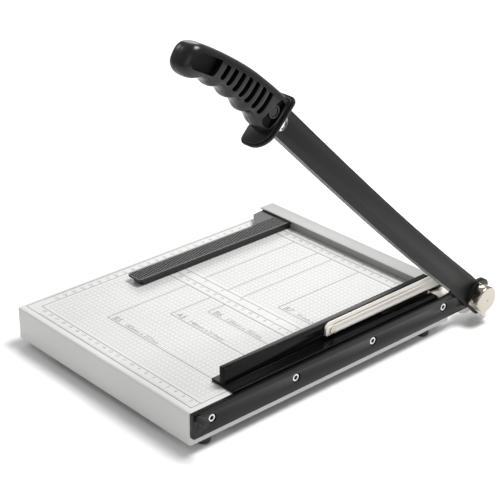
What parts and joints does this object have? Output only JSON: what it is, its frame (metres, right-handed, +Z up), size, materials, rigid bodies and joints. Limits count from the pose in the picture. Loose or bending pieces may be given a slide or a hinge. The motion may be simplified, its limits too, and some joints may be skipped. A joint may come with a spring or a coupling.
{
  "type": "paper cutter",
  "caption": "Lever paper cutter: steel tray bed with a hinged blade and grip handle along one edge, a lifting press bar, a back fence and a sliding side guide.",
  "frame": {"origin": "on the desk, under the middle of the cutter's box with the blade raised as it rests", "axes": "+X from the tray towards the blade's side, +Y from the user to the hinge, +Z up"},
  "size_m": [0.2712, 0.3888, 0.3574],
  "materials": {
    "tray_paint": "satin light grey paint",
    "fence_paint": "satin light grey paint",
    "zinc_steel": "bright zinc plate",
    "rubber": "matte black",
    "guide_plastic": "satin dark grey",
    "magnet": "matte dark brown strip",
    "knife_paint": "satin black",
    "press_black": "black anodised",
    "nickel": "bright warm nickel plate",
    "blade_coat": "satin charcoal coating with a bright ground edge",
    "spring_black": "blackened spring steel",
    "handle_plastic": "satin black"
  },
  "bodies": {
    "base": {"tray": "tray_paint", "corner_plates": "zinc_steel", "foot_front_left": "rubber", "foot_front_right": "rubber", "foot_rear_left": "rubber", "foot_rear_right": "rubber", "foot_screws": "zinc_steel", "foot_nuts": "zinc_steel", "fence": "fence_paint", "fence_screws": "zinc_steel", "bed_knife": "knife_paint", "knife_screws": "zinc_steel", "knife_nuts": "zinc_steel", "stop_stud": "zinc_steel", "stop_bumper": "rubber", "arm_pin": "nickel", "clamp_bracket": "knife_paint", "clamp_bracket_screw": "zinc_steel", "heel_plate": "nickel", "heel_rivets": "nickel", "hinge_bracket": "nickel", "pivot_bolt": "zinc_steel", "pivot_spacer": "zinc_steel", "cap_nut": "nickel"},
    "guide": {"side_guide": "guide_plastic", "guide_magnet": "magnet"},
    "blade_arm": {"blade": "blade_coat", "disc_springs": "spring_black", "hinge_plate": "nickel", "finger_guard": "handle_plastic", "handle_outer": "handle_plastic", "handle_inner": "handle_plastic", "handle_screws": "zinc_steel", "handle_nut": "zinc_steel"},
    "clamp_arm": {"clamp_arm_inner": "nickel", "clamp_arm_outer": "nickel", "arm_rivet": "nickel"},
    "press": {"press_bar": "press_black"}
  },
  "joints": [
    {"name": "blade_swing", "type": "hinge", "parent": "base", "child": "blade_arm", "pos_m": [0.11898, 0.17034, 0.027], "axis": [-1, 0, 0], "range_deg": [-39.4, 25]},
    {"name": "clamp_lift", "type": "hinge", "parent": "base", "child": "clamp_arm", "pos_m": [0.10528, 0.13354, 0.05], "axis": [-1, 0, 0], "range_deg": [0, 3]},
    {"name": "press_level", "type": "hinge", "parent": "clamp_arm", "child": "press", "pos_m": [0.10528, -0.00996, 0.05], "axis": [-1, 0, 0], "range_deg": [-3, 0]},
    {"name": "guide_slide", "type": "slide", "parent": "base", "child": "guide", "axis": [1, 0, 0], "range_m": [-0.003, 0.165]}
  ],
  "couplings": [
    {"joint": "press_level", "follows": "clamp_lift", "ratio": -1}
  ]
}
